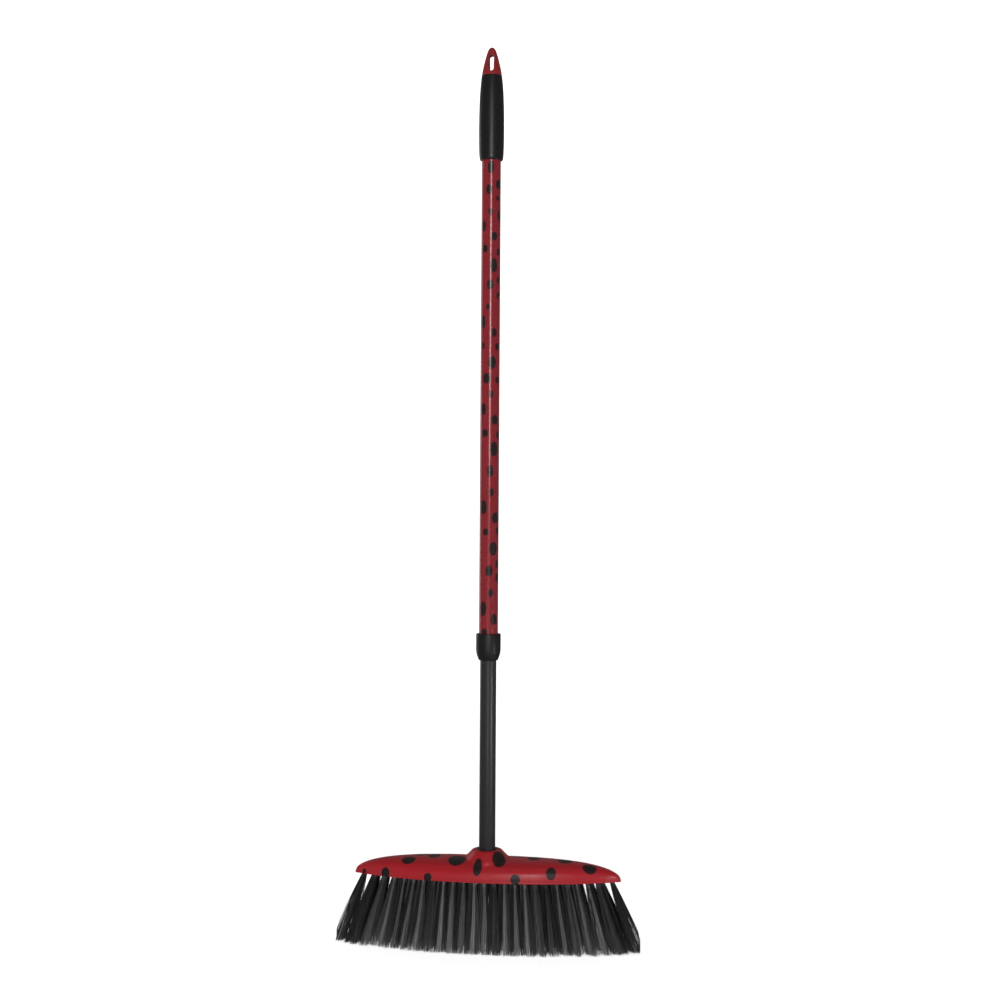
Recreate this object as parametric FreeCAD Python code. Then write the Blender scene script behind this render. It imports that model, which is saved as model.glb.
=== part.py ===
"""Upright broom: lens-shaped head with tufted bristles, and a telescopic screw-in handle.

Millimetres. Origin on the floor under the pole's axis, +Z up the pole, X along the head, -Y the front.
Each function builds one node, and the end of the file writes one STEP per node.
"""
import FreeCAD, Part
import math
import os

from FreeCAD import Vector

# ---- head ----
LIP_Z = 78.5                # lower edge of the cover
HEAD_HALF_LENGTH = 152.0
HEAD_HALF_WIDTH = 33.0
CROWN_HEIGHT = 22.5         # of the cover above its lip
CROWN_POWER = 3.6           # how flat the crown runs before it falls to the tips
TIP_ROUND = 5.0             # length over which the plan outline is rounded at each tip
PLAN_POWER = 0.75           # 1 is a lens of two parabolas, less is blunter at the tips
WALL = 2.2
SECTION_POWER = 2.6         # 2 is an ellipse, more is squarer
BOSS_TOP_Z = 110.0
BOSS_TOP_R = 16.5
BOSS_FOOT_R = 25.5
BOSS_FOOT_Z = 100.0
BOSS_EDGE_ROUND = 2.0
SOCKET_OUTER_R = 12.4       # of the boss's tube inside the cover
SOCKET_FLOOR_Z = 82.0
SOCKET_BOTTOM_Z = 80.4
POST_X = (-96.0, -46.0, 46.0, 96.0)
POST_R = 4.0
POST_HOLE_R = 1.35

# ---- tuft block and bristles ----
BLOCK_BOTTOM_Z = 80.0
BLOCK_THICKNESS = 8.0
BLOCK_GAP = 0.4             # between the block and the cover's wall
BLOCK_SOCKET_HOLE_R = 12.9
TUFT_R = 2.2
TUFT_HOLE_DEPTH = 5.0
TUFT_PITCH = 11.5
TUFT_EDGE = 1.2             # from a tuft's hole to the block's edge
INNER_ROW_SHARE = 0.6       # of the outer row's distance from the middle line
OUTER_ROW_COUNT = 23
INNER_ROW_COUNT = 18
CENTRE_ROW_COUNT = 25
CENTRE_ROW_PITCH = 11.75
CENTRE_ROW_GAP = 16.0       # no centre tuft nearer to the socket than this
FOOT_HALF_LENGTH = 170.6    # of the tip outline on the floor, to the end tufts' centres
FOOT_FLARE_NEAR = 0.35      # part of the lengthwise fan that the tufts by the middle already have
FOOT_FLARE_Y = 1.38
TUFT_FOOT_R = 3.8
TUFT_STRAIGHT = 1.5         # below the block before a tuft starts to spread
ANCHOR_SIZE = (3.6, 0.5, 1.4)

# ---- screw joint, 3/4 inch by 5 threads per inch ----
THREAD_PITCH = 5.08
THREAD_MAJOR_R = 9.4
THREAD_MINOR_R = 7.4
THREAD_CLEARANCE = 0.3
SEAT_Z = 105.0
COUNTERBORE_R = 11.0
WASHER_THICKNESS = 1.2
WASHER_INNER_R = 9.75
FLANGE_R = 10.6
FLANGE_TOP_Z = 110.6
FERRULE_END_Z = 82.6
FERRULE_PLUG_TOP_Z = 150.0
FERRULE_BORE_R = 4.5

# ---- lower pole ----
LOWER_TUBE_R = 9.25
LOWER_TUBE_WALL = 0.6
LOWER_TUBE_TOP_Z = 612.0
PLUG_DEPTH = 26.0
PLUG_FLANGE_R = 9.9
PLUG_FLANGE_TOP_Z = 614.0
STUD_R = 3.0
STUD_HEAD_R = 5.0
STUD_HEAD_Z = (596.0, 600.0)
STUD_TOP_Z = 666.0
STOP_NUT_Z = (658.0, 663.0)
STOP_NUT_FLATS = 10.0

# ---- twist lock ----
SLEEVE_Z = (614.6, 645.0)
SLEEVE_R = 10.2
SLEEVE_SEAT = ((620.0, 5.6), (645.0, 8.6))      # height and radius of the conical seat
SLIT_WIDTH = 2.0
SLIT_BOTTOM_Z = 622.0
CONE_Z = (624.0, 650.0)
CONE_CLEARANCE = 0.12
BORE_CLEARANCE = 0.3

# ---- upper pole ----
UPPER_TUBE_R = 10.8
UPPER_TUBE_WALL = 0.5
UPPER_TUBE_Z = (334.0, 980.0)
WRAP_R = 11.0
WRAP_TOP_Z = 974.0
COLLAR_Z = (325.0, 355.0)
COLLAR_R = 14.1
COLLAR_TAPER_Z = 334.0
COLLAR_TIP_R = 10.6
COLLAR_BORE_R = 9.4
COLLAR_EDGE = 0.8
GRIP_BOTTOM_Z = 893.0
GRIP_OUTLINE = ((893.0, 12.6), (895.0, 13.3), (900.0, 13.9), (912.0, 14.25), (930.0, 14.35), (948.0, 14.15),
                (962.0, 13.75), (972.0, 13.25), (981.0, 12.5), (989.5, 11.5))
GRIP_BORE_CLEARANCE = 0.05
CAP_BASE_Z = 989.5
CAP_OUTLINE = ((989.5, 11.5), (994.1, 10.8), (1003.2, 8.85), (1012.3, 6.45), (1016.9, 4.95))
CAP_TOP_Z = 1022.0
CAP_PLUG_BOTTOM_Z = 952.0
CAP_PLUG_BORE_R = 7.5
SLOT_Z = (993.5, 1012.5)
SLOT_WIDTH = 6.0


def circle_wire(radius, centre, axis=Vector(0, 0, 1)):
    """A closed circular wire."""
    return Part.Wire([Part.makeCircle(radius, centre, axis)])


def cylinder(radius, low, high, x=0.0, y=0.0):
    """An upright cylinder between two heights."""
    return Part.makeCylinder(radius, high - low, Vector(x, y, low))


def tube(outer, inner, low, high, x=0.0, y=0.0):
    """An upright tube between two heights."""
    return cylinder(outer, low, high, x, y).cut(cylinder(inner, low - 1, high + 1, x, y))


def turned(points):
    """A solid of revolution about the pole's axis from (radius, height) corners."""
    corners = [Vector(radius, 0, height) for radius, height in points]
    corners.append(corners[0])
    return Part.Face(Part.makePolygon(corners)).revolve(Vector(0, 0, 0), Vector(0, 0, 1), 360)


def turned_outline(outline, top=None):
    """A solid of revolution whose side is a smooth curve through (height, radius) points."""
    curve = Part.BSplineCurve()
    points = [Vector(radius, 0, height) for height, radius in outline]
    if top is not None:
        points.append(Vector(0, 0, top))
        curve.interpolate(Points=points, FinalTangent=Vector(-1, 0, 0), InitialTangent=Vector(0, 0, 1))
    else:
        curve.interpolate(points)
    low = Vector(0, 0, outline[0][0])
    high = Vector(0, 0, points[-1].z)
    edges = [Part.makeLine(low, points[0]), curve.toShape()]
    if top is None:
        edges.append(Part.makeLine(points[-1], high))
    edges.append(Part.makeLine(high, low))
    return Part.Face(Part.Wire(edges)).revolve(Vector(0, 0, 0), Vector(0, 0, 1), 360)


def screw_ridge(root_r, crest_r, low, high, width_root, width_crest):
    """The helical ridge of a right-hand thread, its root sunk a little into the core."""
    turns_height = high - low
    helix = Part.makeHelix(THREAD_PITCH, turns_height, root_r)
    helix.translate(Vector(0, 0, low))
    sunk = root_r - 0.4
    profile = Part.makePolygon([Vector(sunk, 0, low - width_root / 2), Vector(crest_r, 0, low - width_crest / 2),
                                Vector(crest_r, 0, low + width_crest / 2), Vector(sunk, 0, low + width_root / 2),
                                Vector(sunk, 0, low - width_root / 2)])
    return Part.Wire(helix).makePipeShell([Part.Wire(profile)], True, True)


def plan_half_width(x, inset=0.0):
    """Half the width of the head's lens-shaped plan at x, with rounded tips."""
    half_length = HEAD_HALF_LENGTH - inset
    share = min(abs(x) / half_length, 1.0)
    rounding = math.sqrt(max(0.0, 1 - max(0.0, (abs(x) - half_length + TIP_ROUND) / TIP_ROUND) ** 2))
    lens = (HEAD_HALF_WIDTH - inset) * (1 - share ** 2) ** PLAN_POWER
    tip = (HEAD_HALF_WIDTH - inset) * (1 - ((half_length - TIP_ROUND) / half_length) ** 2) ** PLAN_POWER
    return max(lens, tip) * rounding if abs(x) > half_length - TIP_ROUND else lens


def crown_z(x, inset=0.0):
    """Height of the cover's middle line at x."""
    share = min(abs(x) / (HEAD_HALF_LENGTH - inset), 1.0)
    return LIP_Z + (CROWN_HEIGHT - inset) * math.sqrt(max(0.0, 1 - share ** CROWN_POWER))


def cross_section(x, inset, floor_z):
    """One closed section of the dome at x: a flat bottom under a squarish half ellipse."""
    half_width = plan_half_width(x, inset)
    height = crown_z(x, inset) - LIP_Z
    points = []
    steps = 12
    for i in range(steps + 1):
        angle = math.pi * i / steps
        across = math.copysign(abs(math.cos(angle)) ** (2 / SECTION_POWER), math.cos(angle))
        up = abs(math.sin(angle)) ** (2 / SECTION_POWER)
        points.append(Vector(x, half_width * across, LIP_Z + height * up))
    curve = Part.BSplineCurve()
    curve.interpolate(points)
    start, end = points[0], points[-1]
    low_start, low_end = Vector(x, start.y, floor_z), Vector(x, end.y, floor_z)
    if abs(floor_z - LIP_Z) < 1e-6:
        return Part.Wire([curve.toShape(), Part.makeLine(end, start)])
    return Part.Wire([curve.toShape(), Part.makeLine(end, low_end), Part.makeLine(low_end, low_start),
                      Part.makeLine(low_start, start)])


def dome(inset, floor_z):
    """The head's outer dome, or its cavity when inset by the wall."""
    half_length = HEAD_HALF_LENGTH - inset
    shares = (0.0, 0.2, 0.4, 0.58, 0.72, 0.83, 0.9, 0.945, 0.967, 0.982, 0.993, 0.999)
    stations = sorted({sign * share * half_length for share in shares for sign in (-1, 1)})
    return Part.makeLoft([cross_section(x, inset, floor_z) for x in stations], True, False)


def boss_body(top_r, foot_r, top_z, foot_z, low):
    """The conical boss that the handle screws into."""
    return turned([(0, low), (foot_r, low), (foot_r, foot_z), (top_r, top_z), (0, top_z)])


def thread_cutter():
    """The space that the socket's female thread takes out of the boss."""
    bore = cylinder(THREAD_MINOR_R + THREAD_CLEARANCE, SOCKET_FLOOR_Z, BOSS_TOP_Z)
    ridge = screw_ridge(THREAD_MINOR_R + THREAD_CLEARANCE, THREAD_MAJOR_R + THREAD_CLEARANCE,
                        SOCKET_FLOOR_Z + 2.4, SEAT_Z + 2.0, 3.4, 1.9)
    return bore.fuse(ridge)


def head_cover():
    """Hollow moulded cover with its boss, socket and screw posts in one piece."""
    boss = boss_body(BOSS_TOP_R, BOSS_FOOT_R, BOSS_TOP_Z, BOSS_FOOT_Z, BOSS_FOOT_Z - 8)
    rim = [e for e in boss.Edges if abs(e.BoundBox.ZMin - BOSS_TOP_Z) < 1e-3 and e.BoundBox.ZLength < 1e-3
           and e.Length > 1]
    boss = boss.makeFillet(BOSS_EDGE_ROUND, rim)
    shell = dome(0.0, LIP_Z).fuse(boss)
    cavity = dome(WALL, LIP_Z - 2)
    cone_space = boss_body(BOSS_TOP_R - WALL, BOSS_FOOT_R - WALL, BOSS_TOP_Z - WALL - 1,
                           BOSS_FOOT_Z - WALL, BOSS_FOOT_Z - 12)
    shell = shell.cut(cavity.fuse(cone_space))
    cover = shell.fuse(cylinder(SOCKET_OUTER_R, SOCKET_BOTTOM_Z, SEAT_Z - 1))
    cover = cover.fuse(cylinder(BOSS_TOP_R - 1, SEAT_Z - 2.5, BOSS_TOP_Z - 1))
    block_top = BLOCK_BOTTOM_Z + BLOCK_THICKNESS
    for x in POST_X:
        post_top = crown_z(x) - WALL / 2
        cover = cover.fuse(cylinder(POST_R, block_top, post_top, x))
        cover = cover.cut(cylinder(POST_HOLE_R, block_top - 1, block_top + 7, x))
    cover = cover.cut(thread_cutter())
    return cover.cut(cylinder(COUNTERBORE_R, SEAT_Z, BOSS_TOP_Z + 1))


def row_y(x, share):
    """Distance of a row of tufts from the middle line at x."""
    return share * (plan_half_width(x, WALL + BLOCK_GAP) - TUFT_R - TUFT_EDGE)


def row_positions(share):
    """(x, y) of each tuft in the row whose side is the sign of share."""
    if share == 0:
        count = CENTRE_ROW_COUNT
    elif abs(share) == 1:
        count = OUTER_ROW_COUNT
    else:
        count = INNER_ROW_COUNT
    spots = []
    for i in range(count):
        x = (i - (count - 1) / 2) * (CENTRE_ROW_PITCH if share == 0 else TUFT_PITCH)
        beside_post = min(abs(x - post) for post in POST_X) < POST_R + TUFT_R
        if share == 0 and (abs(x) < CENTRE_ROW_GAP or beside_post):
            continue
        spots.append(Vector(x, row_y(x, share), 0))
    return spots


def tuft_frame(spot):
    """The mouth of a tuft's hole, its centre on the floor, and the direction from floor to mouth."""
    mouth = Vector(spot.x, spot.y, BLOCK_BOTTOM_Z)
    last_x = (CENTRE_ROW_COUNT - 1) / 2 * CENTRE_ROW_PITCH
    spread = FOOT_HALF_LENGTH / last_x
    fan = FOOT_FLARE_NEAR + (1 - FOOT_FLARE_NEAR) * abs(spot.x) / last_x
    foot_x = spot.x * (1 + (spread - 1) * fan)
    foot = Vector(foot_x, spot.y * FOOT_FLARE_Y, 0)
    return mouth, foot, (mouth - foot).normalize()


def tuft_foot_radius(spot, all_feet):
    """Radius of a tuft on the floor: full size, or less where its neighbours are close."""
    foot = tuft_frame(spot)[1]
    nearest = min(foot.distanceToPoint(other) for other in all_feet if foot.distanceToPoint(other) > 0.01)
    return min(TUFT_FOOT_R, 0.46 * nearest)


def all_rows():
    """Node name to tuft positions."""
    return {
        "front_outer_tufts": row_positions(-1),
        "front_inner_tufts": row_positions(-INNER_ROW_SHARE),
        "centre_tufts": row_positions(0),
        "rear_inner_tufts": row_positions(INNER_ROW_SHARE),
        "rear_outer_tufts": row_positions(1),
    }


def anchor(spot):
    """The flat wire staple across the closed end of a tuft's hole."""
    mouth, _, direction = tuft_frame(spot)
    length, width, height = ANCHOR_SIZE
    top = mouth + direction * (TUFT_HOLE_DEPTH - height - 0.3)
    staple = Part.makeBox(length, width, height, Vector(-length / 2, -width / 2, 0))
    staple.Placement = FreeCAD.Placement(top, FreeCAD.Rotation(Vector(0, 0, 1), direction))
    return staple


def tuft(spot, foot_radius):
    """One bundle of bristles: folded over its staple in the hole, fanned out to the floor."""
    mouth, foot, direction = tuft_frame(spot)
    top = mouth + direction * TUFT_HOLE_DEPTH
    neck = mouth - direction * TUFT_STRAIGHT
    wires = [circle_wire(TUFT_R, top, direction), circle_wire(TUFT_R, neck, direction),
             circle_wire(foot_radius, foot)]
    root = Part.makeLoft(wires[:2], True, True)
    brush = Part.makeLoft(wires[1:], True, True)
    return root.fuse(brush).removeSplitter().cut(anchor(spot))


def tuft_row(spots, all_feet):
    """All the tufts of one row, each a separate solid."""
    return Part.makeCompound([tuft(spot, tuft_foot_radius(spot, all_feet)) for spot in spots])


def tuft_block():
    """The plate that closes the cover from below and holds the tufts."""
    inset = WALL + BLOCK_GAP
    top_z = BLOCK_BOTTOM_Z + BLOCK_THICKNESS
    plate = dome(inset, LIP_Z - 2)
    keep = Part.makeBox(2 * HEAD_HALF_LENGTH, 2 * HEAD_HALF_WIDTH, BLOCK_THICKNESS,
                        Vector(-HEAD_HALF_LENGTH, -HEAD_HALF_WIDTH, BLOCK_BOTTOM_Z))
    plate = plate.common(keep)
    plate = plate.cut(cylinder(BLOCK_SOCKET_HOLE_R, BLOCK_BOTTOM_Z - 1, top_z + 1))
    holes = []
    for spots in all_rows().values():
        for spot in spots:
            mouth, _, direction = tuft_frame(spot)
            start = mouth - direction * 2
            holes.append(Part.makeCylinder(TUFT_R, TUFT_HOLE_DEPTH + 2, start, direction))
    for x in POST_X:
        holes.append(cylinder(1.7, BLOCK_BOTTOM_Z - 1, top_z + 1, x))
        holes.append(cylinder(3.3, BLOCK_BOTTOM_Z - 1, BLOCK_BOTTOM_Z + 3.0, x))
    return plate.cut(holes)


def tuft_anchors():
    """Every staple, each a separate solid."""
    return Part.makeCompound([anchor(spot) for spots in all_rows().values() for spot in spots])


def block_screws():
    """Self-tapping screws from below through the block into the cover's posts."""
    screws = []
    head_z = BLOCK_BOTTOM_Z + 1.2
    for x in POST_X:
        head = cylinder(3.0, head_z, head_z + 1.7, x)
        shank = cylinder(POST_HOLE_R, head_z + 1.0, BLOCK_BOTTOM_Z + BLOCK_THICKNESS + 6, x)
        slot_a = Part.makeBox(3.6, 0.8, 1.0, Vector(x - 1.8, -0.4, head_z))
        slot_b = Part.makeBox(0.8, 3.6, 1.0, Vector(x - 0.4, -1.8, head_z))
        screws.append(head.fuse(shank).cut([slot_a, slot_b]))
    return Part.makeCompound(screws)


def socket_washer():
    """Thin rubber ring between the ferrule's flange and the socket's seat."""
    return tube(FLANGE_R, WASHER_INNER_R, SEAT_Z, SEAT_Z + WASHER_THICKNESS)


def thread_ferrule():
    """Moulded plug in the pole's lower end, with the male thread below its flange."""
    inside_r = LOWER_TUBE_R - LOWER_TUBE_WALL
    core = turned([(0, FERRULE_END_Z), (THREAD_MINOR_R - 1, FERRULE_END_Z),
                   (THREAD_MINOR_R, FERRULE_END_Z + 1), (THREAD_MINOR_R, SEAT_Z + WASHER_THICKNESS),
                   (FLANGE_R, SEAT_Z + WASHER_THICKNESS), (FLANGE_R, FLANGE_TOP_Z),
                   (inside_r, FLANGE_TOP_Z), (inside_r, FERRULE_PLUG_TOP_Z), (0, FERRULE_PLUG_TOP_Z)])
    ridge = screw_ridge(THREAD_MINOR_R, THREAD_MAJOR_R, SOCKET_FLOOR_Z + 2.4, SEAT_Z - 2.2, 2.8, 1.3)
    return core.fuse(ridge).cut(cylinder(FERRULE_BORE_R, FERRULE_END_Z - 1, FERRULE_PLUG_TOP_Z + 1))


def lower_tube():
    """Thin painted steel tube."""
    return tube(LOWER_TUBE_R, LOWER_TUBE_R - LOWER_TUBE_WALL, FLANGE_TOP_Z, LOWER_TUBE_TOP_Z)


def lock_plug():
    """Moulded plug in the lower tube's upper end that grips the lock's stud."""
    inside_r = LOWER_TUBE_R - LOWER_TUBE_WALL
    bottom = LOWER_TUBE_TOP_Z - PLUG_DEPTH
    plug = turned([(0, bottom), (inside_r - 0.8, bottom), (inside_r, bottom + 1), (inside_r, LOWER_TUBE_TOP_Z),
                   (PLUG_FLANGE_R, LOWER_TUBE_TOP_Z), (PLUG_FLANGE_R, PLUG_FLANGE_TOP_Z), (0, PLUG_FLANGE_TOP_Z)])
    plug = plug.cut(cylinder(STUD_R, bottom - 1, PLUG_FLANGE_TOP_Z + 1))
    return plug.cut(cylinder(STUD_HEAD_R, bottom - 1, STUD_HEAD_Z[1]))


def lock_stud():
    """Steel stud with a flat head, pushed up through the plug."""
    return cylinder(STUD_HEAD_R, *STUD_HEAD_Z).fuse(cylinder(STUD_R, STUD_HEAD_Z[0], STUD_TOP_Z))


def stop_nut():
    """Hexagon nut that stops the cone from leaving the stud."""
    corner = STOP_NUT_FLATS / math.sqrt(3)
    corners = [Vector(corner * math.cos(math.radians(60 * i)), corner * math.sin(math.radians(60 * i)),
                      STOP_NUT_Z[0]) for i in range(7)]
    nut = Part.Face(Part.makePolygon(corners)).extrude(Vector(0, 0, STOP_NUT_Z[1] - STOP_NUT_Z[0]))
    return nut.cut(cylinder(STUD_R, STOP_NUT_Z[0] - 1, STOP_NUT_Z[1] + 1))


def slit_boxes(width, low, high, reach, start=0.0):
    """Four radial boxes, a quarter turn apart."""
    boxes = []
    for i in range(4):
        box = Part.makeBox(reach - start, width, high - low, Vector(start, -width / 2, low))
        box.rotate(Vector(0, 0, 0), Vector(0, 0, 1), 90 * i)
        boxes.append(box)
    return boxes


def expander_sleeve():
    """Nylon collet: a sleeve with a conical seat and four slits, pressed out by the cone."""
    (seat_low, r_low), (seat_high, r_high) = SLEEVE_SEAT
    bore = STUD_R + BORE_CLEARANCE
    body = turned([(bore, SLEEVE_Z[0]), (SLEEVE_R - 0.6, SLEEVE_Z[0]), (SLEEVE_R, SLEEVE_Z[0] + 0.8),
                   (SLEEVE_R, SLEEVE_Z[1]), (r_high, seat_high), (r_low, seat_low), (bore, seat_low - 1.0)])
    return body.cut(slit_boxes(SLIT_WIDTH, SLIT_BOTTOM_Z, SLEEVE_Z[1] + 1, SLEEVE_R + 1))


def expander_cone():
    """Cone nut on the stud, keyed into the sleeve's slits."""
    (seat_low, r_low), (seat_high, r_high) = SLEEVE_SEAT
    slope = (r_high - r_low) / (seat_high - seat_low)
    bottom_r = r_low + slope * (CONE_Z[0] - seat_low) - CONE_CLEARANCE
    top_r = r_high - CONE_CLEARANCE
    body = turned([(0, CONE_Z[0]), (bottom_r, CONE_Z[0]), (top_r, seat_high), (top_r, CONE_Z[1] - 1),
                   (top_r - 1, CONE_Z[1]), (0, CONE_Z[1])])
    body = body.fuse(slit_boxes(SLIT_WIDTH - 0.6, CONE_Z[0] + 2, CONE_Z[1] - 2, SLEEVE_R - 0.5, STUD_R + 1))
    return body.cut(cylinder(STUD_R + BORE_CLEARANCE / 2, CONE_Z[0] - 1, CONE_Z[1] + 1))


def upper_tube():
    """Steel tube that slides over the lower one."""
    return tube(UPPER_TUBE_R, UPPER_TUBE_R - UPPER_TUBE_WALL, *UPPER_TUBE_Z)


def printed_wrap():
    """Printed film bonded round the upper tube."""
    return tube(WRAP_R, UPPER_TUBE_R, UPPER_TUBE_Z[0], WRAP_TOP_Z)


def guide_collar():
    """Moulded collar on the upper tube's lower end that guides the lower tube."""
    low, high = COLLAR_Z
    shoulder = UPPER_TUBE_Z[0]
    return turned([(COLLAR_BORE_R, low), (COLLAR_TIP_R - 0.4, low), (COLLAR_TIP_R, low + 0.6),
                   (COLLAR_R, COLLAR_TAPER_Z), (COLLAR_R, high - COLLAR_EDGE), (COLLAR_R - COLLAR_EDGE, high),
                   (WRAP_R, high), (WRAP_R, shoulder), (COLLAR_BORE_R, shoulder)])


def hand_grip():
    """Barrel-shaped moulded grip over the upper tube's top end."""
    top = CAP_BASE_Z
    body = turned_outline(GRIP_OUTLINE)
    over_tube = cylinder(WRAP_R + GRIP_BORE_CLEARANCE, GRIP_BOTTOM_Z - 1, UPPER_TUBE_Z[1])
    neck = cylinder(UPPER_TUBE_R - UPPER_TUBE_WALL, UPPER_TUBE_Z[1] - 1, top + 1)
    return body.cut([over_tube, neck])


def hanger_cap():
    """Bullet-shaped tip with a hanging slot, plugged into the tube through the grip's neck."""
    tip = turned_outline(CAP_OUTLINE, CAP_TOP_Z)
    plug_r = UPPER_TUBE_R - UPPER_TUBE_WALL
    plug = turned([(CAP_PLUG_BORE_R, CAP_PLUG_BOTTOM_Z), (plug_r - 0.8, CAP_PLUG_BOTTOM_Z),
                   (plug_r, CAP_PLUG_BOTTOM_Z + 1.5), (plug_r, CAP_BASE_Z), (0, CAP_BASE_Z),
                   (0, CAP_BASE_Z - 4), (CAP_PLUG_BORE_R, CAP_BASE_Z - 4)])
    half = SLOT_WIDTH / 2
    reach = 30.0
    slot = Part.makeBox(SLOT_WIDTH, reach, SLOT_Z[1] - SLOT_Z[0] - SLOT_WIDTH,
                        Vector(-half, -reach / 2, SLOT_Z[0] + half))
    ends = [Part.makeCylinder(half, reach, Vector(0, reach / 2, z), Vector(0, -1, 0))
            for z in (SLOT_Z[0] + half, SLOT_Z[1] - half)]
    return tip.fuse(plug).cut([slot] + ends)


def build():
    """Node name to shape."""
    rows = all_rows()
    feet = [tuft_frame(spot)[1] for spots in rows.values() for spot in spots]
    shapes = {name: tuft_row(spots, feet) for name, spots in rows.items()}
    for make in (head_cover, tuft_block, tuft_anchors, block_screws, socket_washer, thread_ferrule,
                 lower_tube, lock_plug, lock_stud, stop_nut, expander_sleeve, expander_cone,
                 upper_tube, printed_wrap, guide_collar, hand_grip, hanger_cap):
        shapes[make.__name__] = make()
    return shapes


def main():
    """Write one STEP file per node."""
    os.makedirs("parts", exist_ok=True)
    for name, shape in build().items():
        if len(shape.Solids) == 1:
            shape = shape.Solids[0]
        print(name, "solids", len(shape.Solids), "valid", shape.isValid(), "volume", round(shape.Volume, 1),
              "z", round(shape.BoundBox.ZMin, 2), round(shape.BoundBox.ZMax, 2))
        shape.exportStep("parts/" + name + ".step")


main()
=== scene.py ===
"""Visual model of an upright broom: a lens-shaped head, black bristles and a telescopic handle.

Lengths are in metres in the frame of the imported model: the origin is on the floor under the pole's
axis, +Z runs up the pole, +X along the head, and the front faces -Y.  Design sizes below are written
in millimetres and scaled by MM where they are used.
"""
from __future__ import annotations

import logging
import math
import random
from dataclasses import dataclass, field
from enum import Enum
from typing import Callable, Iterable, Sequence

import bmesh
import bpy
from mathutils import Matrix, Vector, kdtree

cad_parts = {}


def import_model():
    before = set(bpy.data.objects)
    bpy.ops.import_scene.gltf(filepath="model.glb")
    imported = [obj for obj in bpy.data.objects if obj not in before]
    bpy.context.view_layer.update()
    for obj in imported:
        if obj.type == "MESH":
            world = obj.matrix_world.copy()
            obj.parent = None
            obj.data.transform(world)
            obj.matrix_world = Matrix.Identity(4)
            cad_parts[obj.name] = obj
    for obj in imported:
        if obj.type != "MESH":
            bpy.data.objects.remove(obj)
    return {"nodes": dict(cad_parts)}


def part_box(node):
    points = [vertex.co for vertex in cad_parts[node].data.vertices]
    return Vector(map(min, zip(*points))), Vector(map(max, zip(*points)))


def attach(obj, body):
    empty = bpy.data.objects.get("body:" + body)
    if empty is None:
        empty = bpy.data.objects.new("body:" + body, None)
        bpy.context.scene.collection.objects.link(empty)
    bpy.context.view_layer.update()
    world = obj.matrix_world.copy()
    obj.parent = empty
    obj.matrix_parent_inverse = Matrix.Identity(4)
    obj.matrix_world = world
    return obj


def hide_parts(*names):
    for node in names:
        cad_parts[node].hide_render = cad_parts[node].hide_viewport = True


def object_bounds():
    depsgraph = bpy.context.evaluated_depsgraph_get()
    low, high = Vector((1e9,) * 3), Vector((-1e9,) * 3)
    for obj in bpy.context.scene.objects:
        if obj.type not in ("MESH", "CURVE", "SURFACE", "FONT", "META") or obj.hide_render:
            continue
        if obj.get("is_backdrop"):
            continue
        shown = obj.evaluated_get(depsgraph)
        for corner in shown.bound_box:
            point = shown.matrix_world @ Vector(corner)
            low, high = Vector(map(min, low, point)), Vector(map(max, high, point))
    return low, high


MM = 0.001
GOLDEN_ANGLE = math.pi * (3 - math.sqrt(5))
LOG = logging.getLogger("broom")
Place = Callable[[int], Vector]
Outline = list[tuple[float, float]]


class Body(Enum):
    """The moving bodies that a piece can ride on."""

    HEAD = "head"
    SCREW_RING = "screw_ring"
    LOWER_POLE = "lower_pole"
    LOCK_SLEEVE = "lock_sleeve"
    LOCK_CONE = "lock_cone"
    UPPER_POLE = "upper_pole"


# ---------------------------------------------------------------- mesh helpers


def finish_piece(name: str, bm: bmesh.types.BMesh, material: bpy.types.Material,
                 sharp_degrees: float = 35.0) -> bpy.types.Object:
    """Turns a bmesh into a smooth-shaded object in the scene.

    Args:
        name: the object's name.
        bm: the finished shape, freed here.
        material: its finish.
        sharp_degrees: edges that turn by more than this stay crisp.

    Returns:
        The new object, with its origin at the frame's origin.
    """
    mesh = bpy.data.meshes.new(name)
    bm.to_mesh(mesh)
    bm.free()
    mesh.shade_smooth()
    mesh.set_sharp_from_angle(angle=math.radians(sharp_degrees))
    mesh.materials.append(material)
    piece = bpy.data.objects.new(name, mesh)
    bpy.context.scene.collection.objects.link(piece)
    LOG.info("%s: %d faces", name, len(mesh.polygons))
    return piece


def declare(piece: bpy.types.Object, body: Body, slot: str, *nodes: str) -> None:
    """Says which body a piece rides on, and hides the nodes it stands for."""
    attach(piece, body.value)
    if nodes:
        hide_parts(*nodes)


def rounded(corners: Sequence[tuple[float, float, float]], steps: int = 4) -> Outline:
    """A closed outline with rounded corners.

    Args:
        corners: (radius, height, corner radius) of each corner, in order.
        steps: pieces in each rounding.

    Returns:
        The (radius, height) points of the outline.
    """
    outline: Outline = []
    count = len(corners)
    for i, (x, z, round_r) in enumerate(corners):
        here = Vector((x, z))
        if round_r <= 0:
            outline.append((x, z))
            continue
        to_last = (Vector(corners[i - 1][:2]) - here).normalized()
        to_next = (Vector(corners[(i + 1) % count][:2]) - here).normalized()
        half_angle = to_last.angle(to_next) / 2
        reach = round_r / math.tan(half_angle)
        centre = here + (to_last + to_next).normalized() * round_r / math.sin(half_angle)
        start = here + to_last * reach - centre
        end = here + to_next * reach - centre
        for k in range(steps + 1):
            arm = start.lerp(end, k / steps).normalized() * round_r
            outline.append(tuple(centre + arm))
    return outline


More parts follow.
